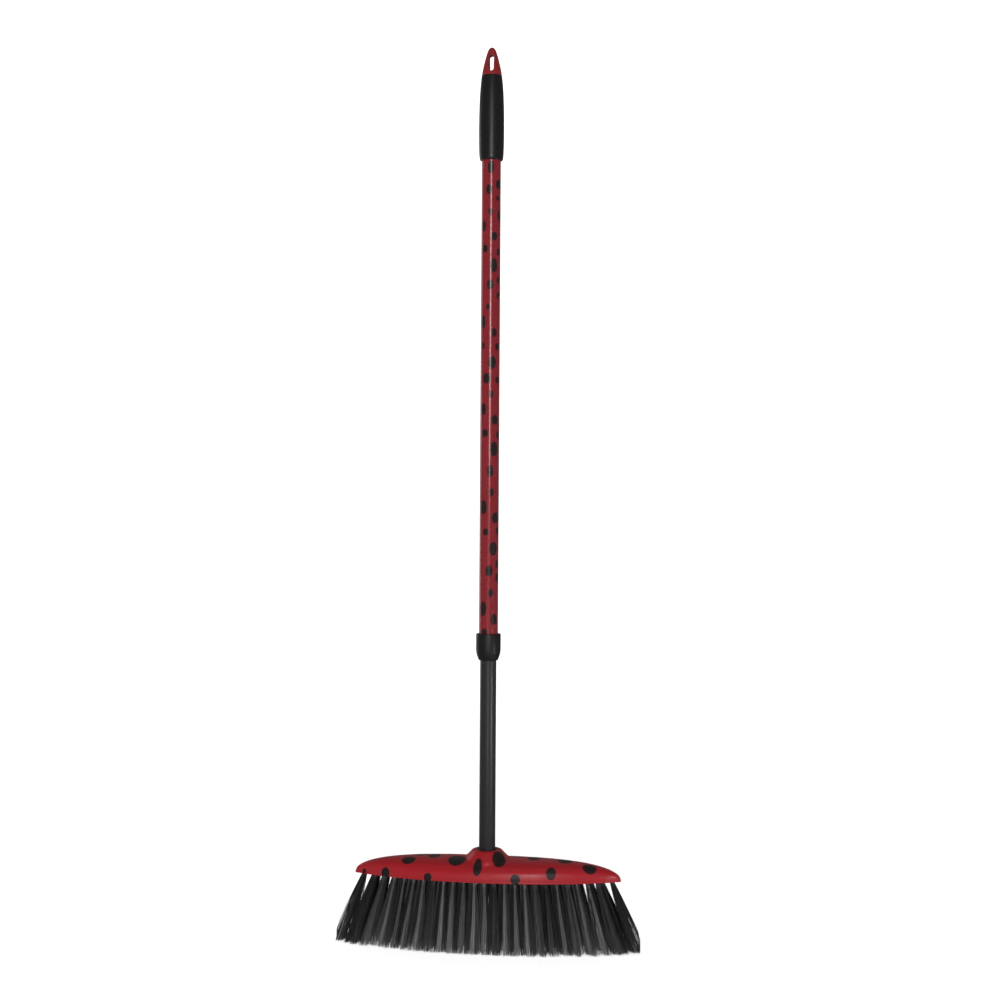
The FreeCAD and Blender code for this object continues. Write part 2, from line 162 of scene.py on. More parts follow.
def smooth_line(points: Sequence[tuple[float, float]], steps: int) -> Outline:
    """A smooth curve through points, by Catmull-Rom spans of a few steps each."""
    line: Outline = []
    padded = [points[0], *points, points[-1]]
    for before, start, end, after in zip(padded, padded[1:], padded[2:], padded[3:]):
        for k in range(steps):
            t = k / steps
            line.append(tuple(
                0.5 * (2 * b + (c - a) * t + (2 * a - 5 * b + 4 * c - d) * t * t
                       + (3 * b - a - 3 * c + d) * t ** 3)
                for a, b, c, d in zip(before, start, end, after)))
    line.append(tuple(points[-1]))
    return line


def spun(outline: Outline, segments: int = 96) -> bmesh.types.BMesh:
    """A solid of revolution about the pole's axis from a closed outline in millimetres.

    Args:
        outline: (radius, height) points; a point on the axis has radius 0.
        segments: divisions round the axis.

    Returns:
        A closed bmesh in metres with its faces outwards.
    """
    bm = bmesh.new()
    verts = [bm.verts.new((radius * MM, 0, height * MM)) for radius, height in outline]
    edges = [bm.edges.new((a, b)) for a, b in zip(verts, verts[1:] + verts[:1])]
    bmesh.ops.spin(bm, geom=verts + edges, cent=(0, 0, 0), axis=(0, 0, 1), angle=math.tau, steps=segments,
                   use_merge=True)
    bmesh.ops.remove_doubles(bm, verts=bm.verts, dist=0.01 * MM)
    bmesh.ops.recalc_face_normals(bm, faces=bm.faces)
    return bm


@dataclass
class RingSkin:
    """A skin grown ring by ring from a circle of vertices."""

    segments: int
    bm: bmesh.types.BMesh = field(default_factory=bmesh.new)
    edges: list[bmesh.types.BMEdge] = field(default_factory=list)
    order: dict[bmesh.types.BMVert, int] = field(default_factory=dict)

    def start(self, place: Place, capped: bool) -> None:
        """Makes the first ring, with a face across it if capped."""
        made = bmesh.ops.create_circle(self.bm, cap_ends=capped, segments=self.segments, radius=1.0)
        self.order = {v: i for i, v in enumerate(made["verts"])}
        self.edges = [e for e in self.bm.edges]
        self.settle(place)

    def settle(self, place: Place) -> None:
        """Moves the newest ring's vertices to their places."""
        for vert, i in self.order.items():
            vert.co = place(i)

    def grow(self, place: Place) -> list[bmesh.types.BMVert]:
        """Extrudes the newest ring and places the new one.

        Args:
            place: gives the new place of vertex i of the ring.

        Returns:
            The new ring's vertices.
        """
        made = bmesh.ops.extrude_edge_only(self.bm, edges=self.edges)["geom"]
        fresh = [g for g in made if isinstance(g, bmesh.types.BMVert)]
        order: dict[bmesh.types.BMVert, int] = {}
        for vert in fresh:
            old = next(e.other_vert(vert) for e in vert.link_edges if e.other_vert(vert) in self.order)
            order[vert] = self.order[old]
        self.edges = [g for g in made if isinstance(g, bmesh.types.BMEdge)
                      and g.verts[0] in order and g.verts[1] in order]
        self.order = order
        self.settle(place)
        return fresh

    def close(self) -> None:
        """Caps the newest ring and turns every face outwards."""
        bmesh.ops.contextual_create(self.bm, geom=self.edges)
        bmesh.ops.recalc_face_normals(self.bm, faces=self.bm.faces)


# ---------------------------------------------------------------- finishes


@dataclass(frozen=True)
class Finish:
    """A moulded, painted or drawn surface with fine grain and uneven gloss.

    Colours are linear.  grain_size and mottle_size are in millimetres, and grain_depth is in
    micrometres.
    """

    name: str
    colour: tuple[float, float, float]
    roughness: float = 0.4
    roughness_spread: float = 0.08
    metallic: float = 0.0
    specular: float = 0.5
    coat: float = 0.0
    coat_roughness: float = 0.1
    grain_size: float = 1.2
    grain_depth: float = 12.0
    mottle_size: float = 30.0
    mottle: float = 0.08
    stretch: tuple[float, float, float] = (1.0, 1.0, 1.0)

    def build(self) -> bpy.types.Material:
        """Makes the node material."""
        material = bpy.data.materials.new(self.name)
        material.use_nodes = True
        tree = material.node_tree
        tree.nodes.clear()
        output = tree.nodes.new("ShaderNodeOutputMaterial")
        shader = tree.nodes.new("ShaderNodeBsdfPrincipled")
        tree.links.new(shader.outputs["BSDF"], output.inputs["Surface"])
        shader.inputs["Metallic"].default_value = self.metallic
        shader.inputs["Specular IOR Level"].default_value = self.specular
        shader.inputs["Coat Weight"].default_value = self.coat
        shader.inputs["Coat Roughness"].default_value = self.coat_roughness
        self.dress(tree, shader)
        return material

    def place(self, tree: bpy.types.NodeTree) -> bpy.types.NodeSocket:
        """Object coordinates, stretched along the axes of the grain."""
        coords = tree.nodes.new("ShaderNodeTexCoord")
        mapping = tree.nodes.new("ShaderNodeMapping")
        mapping.inputs["Scale"].default_value = self.stretch
        tree.links.new(coords.outputs["Object"], mapping.inputs["Vector"])
        return mapping.outputs["Vector"]

    def noise(self, tree: bpy.types.NodeTree, size: float, detail: float = 3.0) -> bpy.types.NodeSocket:
        """Noise whose lumps are about size millimetres across."""
        node = tree.nodes.new("ShaderNodeTexNoise")
        node.inputs["Scale"].default_value = 1.0 / (size * MM)
        node.inputs["Detail"].default_value = detail
        tree.links.new(self.place(tree), node.inputs["Vector"])
        return node.outputs["Fac"]

    def ranged(self, tree: bpy.types.NodeTree, value: bpy.types.NodeSocket, low: float,
               high: float, start: float = 0.0, end: float = 1.0) -> bpy.types.NodeSocket:
        """Maps a value from start..end to low..high."""
        node = tree.nodes.new("ShaderNodeMapRange")
        node.inputs["From Min"].default_value = start
        node.inputs["From Max"].default_value = end
        node.inputs["To Min"].default_value = low
        node.inputs["To Max"].default_value = high
        tree.links.new(value, node.inputs["Value"])
        return node.outputs["Result"]

    def blend(self, tree: bpy.types.NodeTree, amount: bpy.types.NodeSocket, first: object,
              second: object) -> bpy.types.NodeSocket:
        """Mixes two colours, each a socket or a colour, by a value."""
        node = tree.nodes.new("ShaderNodeMix")
        node.data_type = "RGBA"
        tree.links.new(amount, node.inputs[0])
        for socket, colour in ((node.inputs[6], first), (node.inputs[7], second)):
            if isinstance(colour, bpy.types.NodeSocket):
                tree.links.new(colour, socket)
            else:
                socket.default_value = (*colour, 1.0)
        return node.outputs[2]

    def mottled(self, tree: bpy.types.NodeTree, colour: tuple[float, float, float]) -> bpy.types.NodeSocket:
        """The base colour, lighter and darker by the mottle."""
        low = tuple(c * (1 - self.mottle) for c in colour)
        high = tuple(c * (1 + self.mottle) for c in colour)
        return self.blend(tree, self.noise(tree, self.mottle_size), low, high)

    def grain(self, tree: bpy.types.NodeTree, shader: bpy.types.ShaderNode) -> None:
        """Adds the fine bump."""
        bump = tree.nodes.new("ShaderNodeBump")
        bump.inputs["Distance"].default_value = self.grain_depth * MM * MM
        tree.links.new(self.noise(tree, self.grain_size), bump.inputs["Height"])
        tree.links.new(bump.outputs["Normal"], shader.inputs["Normal"])

    def gloss(self, tree: bpy.types.NodeTree, roughness: float) -> bpy.types.NodeSocket:
        """Uneven roughness about a middle value."""
        spread = self.roughness_spread
        patches = self.noise(tree, self.mottle_size / 3)
        return self.ranged(tree, patches, roughness - spread, roughness + spread)

    def dress(self, tree: bpy.types.NodeTree, shader: bpy.types.ShaderNode) -> None:
        """Links colour, roughness and bump."""
        tree.links.new(self.mottled(tree, self.colour), shader.inputs["Base Color"])
        tree.links.new(self.gloss(tree, self.roughness), shader.inputs["Roughness"])
        self.grain(tree, shader)


@dataclass(frozen=True)
class SpottedFinish(Finish):
    """A glossy red with printed black spots, whose edges follow the mesh's spot attribute."""

    spot_colour: tuple[float, float, float] = (0.009, 0.006, 0.0055)
    spot_roughness: float = 0.45
    edge: float = 0.09

    def dress(self, tree: bpy.types.NodeTree, shader: bpy.types.ShaderNode) -> None:
        """Adds the printed spots over the base finish."""
        spot = tree.nodes.new("ShaderNodeAttribute")
        spot.attribute_name = "spot"
        inside = self.ranged(tree, spot.outputs["Fac"], 1.0, 0.0, -self.edge, self.edge)
        colour = self.blend(tree, inside, self.mottled(tree, self.colour), self.spot_colour)
        tree.links.new(colour, shader.inputs["Base Color"])
        matt = tree.nodes.new("ShaderNodeMath")
        matt.operation = "MULTIPLY_ADD"
        tree.links.new(inside, matt.inputs[0])
        matt.inputs[1].default_value = self.spot_roughness - self.roughness
        tree.links.new(self.gloss(tree, self.roughness), matt.inputs[2])
        tree.links.new(matt.outputs[0], shader.inputs["Roughness"])
        self.grain(tree, shader)


@dataclass(frozen=True)
class StrandFinish(Finish):
    """Drawn black filament, each strand its own random tone, with painted shade and painted sheen: the
    strand attribute mixes towards a pale colour, darker at the roots, on each bundle's flanks and at the
    head's ends.
    """

    # the pale colour is partly a painted sheen, standing in for the lit streaks of the glossy strands
    pale_and_sheen: tuple[float, float, float] = (0.3, 0.3, 0.31)

    def dress(self, tree: bpy.types.NodeTree, shader: bpy.types.ShaderNode) -> None:
        """Links the strand's own tone, with its painted shade and sheen, and an uneven gloss."""
        strand = tree.nodes.new("ShaderNodeAttribute")
        strand.attribute_name = "strand"
        # painted shade and sheen: the strand attribute blends from the black towards the pale colour
        colour = self.blend(tree, strand.outputs["Fac"], self.mottled(tree, self.colour), self.pale_and_sheen)
        tree.links.new(colour, shader.inputs["Base Color"])
        tree.links.new(self.gloss(tree, self.roughness), shader.inputs["Roughness"])


class Finishes:
    """Every finish on the broom, built once."""

    def __init__(self) -> None:
        """Builds the node materials."""
        self.head_red = SpottedFinish("head_red", (0.27, 0.007, 0.012), roughness=0.36, specular=0.32,
                                      coat=0.1, coat_roughness=0.2, grain_size=1.6, grain_depth=18,
                                      edge=0.12).build()
        self.film_red = SpottedFinish("film_red", (0.17, 0.007, 0.012), roughness=0.24,
                                      roughness_spread=0.05, coat=0.35, coat_roughness=0.12,
                                      grain_size=2.5, grain_depth=9,
                                      spot_roughness=0.3).build()
        self.cap_red = Finish("cap_red", (0.2, 0.010, 0.011), roughness=0.36, specular=0.4,
                              coat_roughness=0.2, grain_size=1.6, grain_depth=18).build()
        self.grip_black = Finish("grip_black", (0.005, 0.005, 0.0055), roughness=0.36, grain_size=0.8,
                                 grain_depth=22, mottle=0.2).build()
        self.collar_black = Finish("collar_black", (0.004, 0.004, 0.0045), roughness=0.45, grain_size=0.7,
                                   grain_depth=25, mottle=0.2).build()
        self.tube_black = Finish("tube_black", (0.014, 0.014, 0.0155), roughness=0.38, coat=0.1,
                                 coat_roughness=0.15, grain_size=1.8, grain_depth=14, mottle=0.15,
                                 stretch=(1.0, 1.0, 0.25)).build()
        self.bristle_black = StrandFinish("bristle_black", (0.006, 0.006, 0.0065), roughness=0.34,
                                          specular=0.6, mottle=0.3).build()
        self.block_black = Finish("block_black", (0.012, 0.012, 0.012), roughness=0.55,
                                  grain_depth=30).build()
        self.ferrule_black = Finish("ferrule_black", (0.014, 0.014, 0.014), roughness=0.45,
                                    grain_depth=20).build()
        self.washer_rubber = Finish("washer_rubber", (0.02, 0.02, 0.02), roughness=0.8, specular=0.3,
                                    grain_size=0.5, grain_depth=40).build()
        self.nylon = Finish("lock_nylon", (0.75, 0.73, 0.66), roughness=0.45, grain_depth=15,
                            mottle=0.04).build()
        self.zinc = Finish("zinc", (0.62, 0.62, 0.6), roughness=0.32, metallic=1.0, grain_size=0.6,
                           grain_depth=6, mottle=0.12, mottle_size=4).build()
        self.rolled_steel = Finish("rolled_steel", (0.5, 0.5, 0.52), roughness=0.3, metallic=1.0,
                                   grain_size=0.5, grain_depth=8, stretch=(1.0, 1.0, 0.03)).build()

    def dress_nodes(self, nodes: dict[str, bpy.types.Object]) -> None:
        """Gives every carried-over node its finish."""
        chosen = {
            "tuft_block": self.block_black, "tuft_anchors": self.rolled_steel, "block_screws": self.zinc,
            "socket_washer": self.washer_rubber, "thread_ferrule": self.ferrule_black,
            "lock_plug": self.nylon, "lock_stud": self.zinc, "stop_nut": self.zinc,
            "expander_sleeve": self.nylon, "expander_cone": self.nylon, "upper_tube": self.rolled_steel,
        }
        for name, material in chosen.items():
            for slot in nodes[name].material_slots:
                slot.material = material
            LOG.info("%s: keeps its shape, finish %s", name, material.name)


# ---------------------------------------------------------------- printed spots


@dataclass(frozen=True)
class Spot:
    """An oval printed on the surface: its centre, half sizes in millimetres and lean in degrees."""

    centre: Vector
    half_width: float
    half_height: float
    across: Vector
    lean: float = 0.0

    def distance(self, point: Vector) -> float:
        """Roughly how far outside the oval's edge a point of the surface is, in millimetres."""
        arm = point - self.centre
        side = arm.dot(self.across)
        rest = arm - self.across * side
        up = rest.length * (1 if rest.z >= 0 else -1)
        turn = math.radians(self.lean)
        u = side * math.cos(turn) - up * math.sin(turn)
        v = side * math.sin(turn) + up * math.cos(turn)
        stretched = math.hypot(u / self.half_width, v / self.half_height)
        slope = math.hypot(u / self.half_width ** 2, v / self.half_height ** 2) / max(stretched, 1e-6)
        return (stretched - 1) / max(slope, 1e-6)


def paint_spots(bm: bmesh.types.BMesh, spots: Sequence[Spot], reach: float,
                painted: Callable[[Vector], bool]) -> None:
    """Writes each vertex's distance to the nearest spot edge into the spot attribute.

    Args:
        bm: the mesh, in metres.
        spots: the ovals, in millimetres.
        reach: beyond this distance from a centre a spot has no effect, in millimetres.
        painted: says whether the print covers the surface at a point.
    """
    layer = bm.verts.layers.float.new("spot")
    tree = kdtree.KDTree(len(spots))
    for i, spot in enumerate(spots):
        tree.insert(spot.centre, i)
    tree.balance()
    for vert in bm.verts:
        point = vert.co / MM
        near = [spots[i].distance(point) for _, i, _ in tree.find_range(point, reach)]
        vert[layer] = min(near, default=reach) if painted(point) else reach


# ---------------------------------------------------------------- head


@dataclass
class HeadCover:
    """Red moulded cover: a domed lens with a conical boss and a threaded socket.  Sizes in millimetres."""

    half_length: float
    half_width: float
    lip_z: float
    boss_top_z: float
    material: bpy.types.Material
    segments: int = 640
    tip_round: float = 5.0
    plan_power: float = 0.75
    crown_power: float = 3.6
    section_power: float = 2.6
    crown: float = 22.5
    bead: float = 0.5
    bead_height: float = 2.2
    wall: float = 2.2
    boss_r: float = 16.5
    boss_slope: float = 1.11
    boss_foot_r: float = 25.5
    boss_foot_slope: float = 3.6
    fairing: float = 1.8
    socket_r: float = 11.0
    bore_r: float = 9.9
    seat_z: float = 105.0
    floor_z: float = 82.0
    base_z: float = 80.4
    ceiling_z: float = 88.5
    tube_r: float = 12.4
    inner_rings: int = 28
    outer_rings: int = 74
    thread_pitch: float = 5.08

    def half_width_at(self, x: float) -> float:
        """Half the plan's width at x."""
        share = min(abs(x) / self.half_length, 1.0)
        start = self.half_length - self.tip_round
        if abs(x) <= start:
            return self.half_width * (1 - share ** 2) ** self.plan_power
        blunt = self.half_width * (1 - (start / self.half_length) ** 2) ** self.plan_power
        return blunt * math.sqrt(max(0.0, 1 - ((abs(x) - start) / self.tip_round) ** 2))

    def dome_z(self, x: float, y: float) -> float:
        """Height of the plain dome."""
        width = max(self.half_width_at(x), 1e-6)
        share = min(abs(x) / self.half_length, 1.0)
        rise = (self.crown - self.bead_height) * math.sqrt(max(0.0, 1 - share ** self.crown_power))
        across = min(abs(y) / width, 1.0)
        power = self.section_power
        return self.lip_z + self.bead_height + rise * (1 - across ** power) ** (1 / power)

    def boss_z(self, radius: float) -> float:
        """Height of the boss's cone at a radius, with a rounded top edge and a steep foot."""
        cone = self.boss_top_z - self.boss_slope * (radius - self.boss_r)
        foot = (self.boss_top_z - self.boss_slope * (self.boss_foot_r - self.boss_r)
                - self.boss_foot_slope * (radius - self.boss_foot_r))
        side = self.smooth_min(cone, foot, 1.5)
        return self.smooth_min(side, self.boss_top_z, 1.0)

    @staticmethod
    def smooth_min(first: float, second: float, width: float) -> float:
        """The lower of two heights, rounded where they cross."""
        return 0.5 * (first + second - math.hypot(first - second, width))

    def surface(self, x: float, y: float) -> Vector:
        """The outer surface above a plan point, in metres."""
        dome, boss = self.dome_z(x, y), self.boss_z(math.hypot(x, y))
        height = dome
        if boss > dome - 12:
            height = 0.5 * (dome + boss + math.hypot(dome - boss, self.fairing))
        return Vector((x, y, min(height, self.boss_top_z))) * MM

    def direction(self, i: int) -> tuple[float, float]:
        """Sine and minus cosine of vertex i's angle, from the front towards +X."""
        angle = math.tau * i / self.segments
        return math.sin(angle), -math.cos(angle)

    def outline(self, i: int, inset: float = 0.0) -> Vector:
        """Plan point i of the outline, in millimetres."""
        along, across = self.direction(i)
        x = self.half_length * along
        y = math.copysign(self.half_width_at(x), across)
        return Vector((x * (1 - inset / self.half_length), y * (1 - inset / self.half_width), 0))

    def circle(self, radius: float, height: float) -> Place:
        """Places a ring on a circle round the pole's axis."""
        def place(i: int) -> Vector:
            along, across = self.direction(i)
            return Vector((along * radius, across * radius, height)) * MM
        return place

    def rim(self, inset: float, height: float) -> Place:
        """Places a ring on the outline, moved inwards."""
        return lambda i: (self.outline(i, inset) + Vector((0, 0, height))) * MM

    def ceiling(self, i: int) -> Vector:
        """Where the inner wall meets the ceiling: flat, but lower near the tips, under the dome."""
        point = self.outline(i, self.wall)
        room = self.dome_z(point.x, point.y) - 1.6
        return Vector((point.x, point.y, min(self.ceiling_z, max(self.lip_z + 0.6, room)))) * MM

    def fan(self, share: float, from_r: float) -> Place:
        """Places a ring on the outer surface, a share of the way from a circle to the outline."""
        def place(i: int) -> Vector:
            along, across = self.direction(i)
            point = Vector((along * from_r, across * from_r, 0)).lerp(self.outline(i), share)
            return self.surface(point.x, point.y)
        return place

    def shape(self) -> bmesh.types.BMesh:
        """Grows the closed skin: socket floor, bore, seat, rim, boss, dome, lip, inside and base."""
        skin = RingSkin(self.segments)
        top = self.boss_top_z
        skin.start(self.circle(self.bore_r, self.floor_z), capped=True)
        for radius, height in ((self.bore_r, self.seat_z), (self.socket_r, self.seat_z),
                               (self.socket_r, top - 0.6), (self.socket_r + 0.15, top - 0.2),
                               (self.socket_r + 0.6, top)):
            skin.grow(self.circle(radius, height))
        fan_r = 27.5
        start_r = self.socket_r + 1.2
        for k in range(self.inner_rings + 1):
            radius = start_r + (fan_r - start_r) * k / self.inner_rings
            skin.grow(self.fan(0.0, radius))
        for k in range(1, self.outer_rings + 1):
            skin.grow(self.fan(math.sin(math.pi / 2 * k / self.outer_rings), fan_r))
        lip, bead_top = self.lip_z, self.lip_z + self.bead_height
        for inset, height in ((-0.35, bead_top - 0.08), (-self.bead, bead_top - 0.35),
                              (-self.bead, lip + 0.35), (-0.35, lip + 0.08), (0.0, lip),
                              (self.wall - 0.4, lip), (self.wall, lip + 0.4)):
            skin.grow(self.rim(inset, height))
        skin.grow(self.ceiling)
        skin.grow(self.circle(self.tube_r, self.ceiling_z))
        skin.grow(self.circle(self.tube_r, self.base_z))
        skin.close()
        return skin.bm

    def thread(self, bm: bmesh.types.BMesh) -> None:
        """Adds the socket's internal ridge, one profile spun up a helix."""
        steps = 48
        low, high = self.floor_z + 0.6 * self.thread_pitch, self.seat_z - 0.5 * self.thread_pitch
        turns = (high - low) / self.thread_pitch
        depth, root, crest = 2.1, 1.9, 0.7
        base, tip = self.bore_r + 0.1, self.bore_r - depth
        profile = [Vector((base, 0, low - root / 2)), Vector((tip, 0, low - crest / 2)),
                   Vector((tip, 0, low + crest / 2)), Vector((base, 0, low + root / 2))]
        face = bm.faces.new([bm.verts.new(c * MM) for c in profile])
        count = round(steps * turns)
        geom = [face, *face.edges, *face.verts]
        bmesh.ops.spin(bm, geom=geom, cent=(0, 0, 0), axis=(0, 0, 1), angle=math.tau * turns, steps=count,
                       dvec=(0, 0, (high - low) * MM / count), use_duplicate=False)

    def on_face(self, x: float, height: float) -> Vector:
        """The point of the front face at x and a height, found by halving its depth."""
        outer, inner = -self.half_width_at(x), 0.0
        for _ in range(24):
            y = (outer + inner) / 2
            if self.surface(x, y).z > height * MM:
                inner = y
            else:
                outer = y
        return self.surface(x, outer) / MM

    def print_spots(self) -> list[Spot]:
        """The ovals on the cover: the front's chosen one by one, the back's at seeded places."""
        along = Vector((1, 0, 0))
        # x, height, half width, half height and lean of the ovals on the front face
        face = [(-140.5, 81.5, 2.5, 3, 0), (-114, 82.5, 5, 6.5, 0), (-63.5, 82, 4.5, 5, 0),
                (-7, 95, 5, 10.5, 4), (36, 83.5, 5.5, 6, 0), (75.5, 90.5, 5.5, 7.5, 0)]
        # x, y, half width, half height and lean of the ovals that run over the top
        top = [(-88, -13.5, 8, 7.5, 0), (-60.5, -2, 7, 8, 0), (-32.5, -13.5, 10, 13, 0),
               (16, -17, 7.5, 11.5, -3), (53, 1, 7, 8, 0), (89, -2, 8.5, 7.5, 0), (117.5, -10, 8, 8, 0)]
        spots = [Spot(self.on_face(x, z), w, h, along, lean) for x, z, w, h, lean in face]
        spots += [Spot(self.surface(x, y) / MM, w, h, along, lean) for x, y, w, h, lean in top]
        picks = random.Random(11)
        x = -132.0
        low = True
        while x < 136:
            width = self.half_width_at(x)
            y = width * (picks.uniform(0.86, 0.95) if low else picks.uniform(0.35, 0.6))
            size = picks.uniform(4.2, 8.5) * min(1.0, 0.45 + width / 30)
            centre = self.surface(x, y) / MM
            spots.append(Spot(centre, size, size * picks.uniform(0.9, 1.4), along, picks.uniform(-8, 8)))
            x += size + picks.uniform(9, 15)
            low = not low
        return spots

    def build(self) -> bpy.types.Object:
        bm = self.shape()
        outside_r = self.socket_r + 0.3

        def painted(point: Vector) -> bool:
            return point.z > self.lip_z - 0.01 and math.hypot(point.x, point.y) > outside_r

        paint_spots(bm, self.print_spots(), 22.0, painted)
        self.thread(bm)
        piece = finish_piece("head_cover_shell", bm, self.material, 40)
        declare(piece, Body.HEAD, "head_red", "head_cover")
        return piece


@dataclass
class Bristles:
    """Rows of bristle bundles, fanned from their holes to the floor.  Sizes in millimetres."""

    nodes: dict[str, bpy.types.Object]
    material: bpy.types.Material
    low: Vector
    high: Vector
    locks: int = 6
    end_locks: int = 14
    strands_per_lock: int = 17
    root_r: float = 2.05
    foot_r: float = 5.8
    lock_r: float = 2.9
    splay: float = 1.0
    strand_r: float = 0.2
    spans: int = 7
    trim: float = 0.7
    end_x: float = 118.0
    # painted shade: bundles near the head's tips are darkened, as they lean away from the light
    end_painted_shade: float = 0.45
    end_reach: float = 1.5
    stray_share: float = 0.07
    trimmed_share: float = 0.2
    seed: int = 5

    def bundles(self, node: str) -> list[tuple[Vector, Vector]]:
        """The neck and the foot of each bundle of a row, read from the frame's solids.

        Args:
            node: the row's node.

        Returns:
            A (neck, foot) pair of points in millimetres for each bundle.
        """
        bm = bmesh.new()
        bm.from_mesh(self.nodes[node].data)
        bmesh.ops.remove_doubles(bm, verts=bm.verts, dist=0.001 * MM)
        seen: set[bmesh.types.BMVert] = set()
        pairs: list[tuple[Vector, Vector]] = []
        for start in bm.verts:
            if start in seen:
                continue
            island, queue = [], [start]
            seen.add(start)
            while queue:
                vert = queue.pop()
                island.append(vert.co / MM)
                for edge in vert.link_edges:
                    other = edge.other_vert(vert)
                    if other not in seen:
                        seen.add(other)
                        queue.append(other)
            if min(point.z for point in island) < 0.5:
                foot = self.middle(point for point in island if point.z < 0.5)
                neck = self.middle(point for point in island if 70 < point.z < 80.5)
                pairs.append((neck, foot))
        bm.free()
        return pairs

    @staticmethod
    def middle(points: Iterable[Vector]) -> Vector:
        """The centre of the points' box."""
        found = list(points)
        lows = [min(p[k] for p in found) for k in range(3)]
        highs = [max(p[k] for p in found) for k in range(3)]
        return Vector([(a + b) / 2 for a, b in zip(lows, highs)])

    def at_end(self, neck: Vector) -> bool:
        """Whether a bundle is one of the wide ones near the head's tips."""
        return abs(neck.x) > self.end_x

    def lock_out(self, neck: Vector, number: int) -> float:
        """How far out in its bundle a lock lies, as a share of the bundle's radius."""
        return math.sqrt((number + 0.4) / (self.end_locks if self.at_end(neck) else self.locks))

    def lock_paths(self, neck: Vector, foot: Vector, number: int, lean: Vector,
                   picks: random.Random) -> list[list[Vector]]:
        """The strands of one lock of a bundle, from inside the hole to their tips.

        Args:
            neck: the middle of the bundle below its hole.
            foot: the middle of the bundle on the floor.
            number: the lock's place round the bundle.
            lean: the bundle's own lean at the floor.
            picks: the seeded source of chance.

        Returns:
            For each strand its points, in millimetres.
        """
        turn = GOLDEN_ANGLE * number + picks.uniform(-0.5, 0.5)
        out = self.lock_out(neck, number)
        side = Vector((math.cos(turn), math.sin(turn), 0)) * out
        down = (foot - neck).normalized()
        root = neck - down * 4.5 + side * (self.root_r - 0.55)
        reach = Vector((self.end_reach if self.at_end(neck) else 1.0, 1.0, 1.0))
        end = foot + lean + side * reach * self.foot_r * picks.uniform(0.85, 1.15)
        bow = side * picks.uniform(0.2, 1.6)
        bow += Vector((picks.uniform(-0.7, 0.7), picks.uniform(-0.5, 0.5), 0))
        sway = Vector((picks.uniform(-0.5, 0.5), picks.uniform(-0.3, 0.3), 0))
        phase = picks.uniform(0, math.tau)
        paths: list[list[Vector]] = []
        for k in range(self.strands_per_lock):
            disc = Vector((math.cos(GOLDEN_ANGLE * k), math.sin(GOLDEN_ANGLE * k), 0))
            disc *= math.sqrt((k + 0.5) / self.strands_per_lock)
            stray = 2.2 if picks.random() < self.stray_share else 0.45
            tip = end + disc * self.lock_r + Vector((picks.gauss(0, stray), picks.gauss(0, stray), 0))
            tip.z = abs(picks.gauss(0.1, 0.25))
            if picks.random() < self.trimmed_share:
                tip.z += picks.uniform(0, self.trim)
            kink = Vector((picks.uniform(-0.3, 0.3), picks.uniform(-0.3, 0.3), 0))
            points = []
            for n in range(self.spans + 1):
                t = n / self.spans
                point = (root + disc * 0.75).lerp(tip, t)
                point += side * self.splay * math.sin(math.pi * min(t, 0.5))
                point += bow * math.sin(math.pi * t) * 0.8 + sway * math.sin(phase + 1.4 * math.tau * t) * t
                point += kink * math.sin(phase * 2 + k + math.tau * t) * t
                points.append(self.kept(point))
            paths.append(points)
        return paths

    def kept(self, point: Vector) -> Vector:
        """The point, moved inside the object's box if it left it."""
        margin = 1.3 * self.strand_r
        x = min(max(point.x, self.low.x + margin), self.high.x - margin)
        y = min(max(point.y, self.low.y + margin), self.high.y - margin)
        return Vector((x, y, max(point.z, 0.02)))

    def row(self, node: str) -> bpy.types.Object:
        """One row's strands: small triangles extruded down span by span."""
        picks = random.Random(self.seed + len(node) * 31 + ord(node[0]) + ord(node[-9]))
        bm = bmesh.new()
        shade = bm.verts.layers.float.new("strand")
        paths: list[list[Vector]] = []
        shades: list[float] = []
        for neck, foot in self.bundles(node):
            lean = Vector((picks.gauss(0, 0.8), picks.gauss(0, 0.5), 0))
            # painted shade on the end bundles
            end_shade_scale = self.end_painted_shade if self.at_end(neck) else 1.0
            for number in range(self.end_locks if self.at_end(neck) else self.locks):
                # painted shade: locks on the sides of each bundle, towards its neighbours in the row, are
                # darkened; the rest of the tone varies at random
                flank_shade = self.lock_out(neck, number) * abs(math.cos(GOLDEN_ANGLE * number))
                tone_with_shade = (0.2 + 0.8 * picks.random()) * (1 - 0.9 * flank_shade) * end_shade_scale
                for path in self.lock_paths(neck, foot, number, lean, picks):
                    paths.append(path)
                    shades.append(min(1.0, tone_with_shade * picks.uniform(0.6, 1.2)))
        corner = [Vector((math.cos(a), math.sin(a), 0)) * self.strand_r
                  for a in (0.3, 0.3 + math.tau / 3, 0.3 + 2 * math.tau / 3)]
        owner: dict[bmesh.types.BMVert, tuple[int, int]] = {}
        for number, path in enumerate(paths):
            made = bmesh.ops.create_circle(bm, cap_ends=True, segments=3, radius=self.strand_r * MM)
            for c, vert in enumerate(made["verts"]):
                owner[vert] = (number, c)
                vert.co = (path[0] + corner[c]) * MM
                vert[shade] = shades[number]
        faces = list(bm.faces)
        for n in range(1, self.spans + 1):
            made = bmesh.ops.extrude_face_region(bm, geom=faces, use_keep_orig=(n == 1))["geom"]
            fresh = [g for g in made if isinstance(g, bmesh.types.BMVert)]
            faces = [g for g in made if isinstance(g, bmesh.types.BMFace)]
            following: dict[bmesh.types.BMVert, tuple[int, int]] = {}
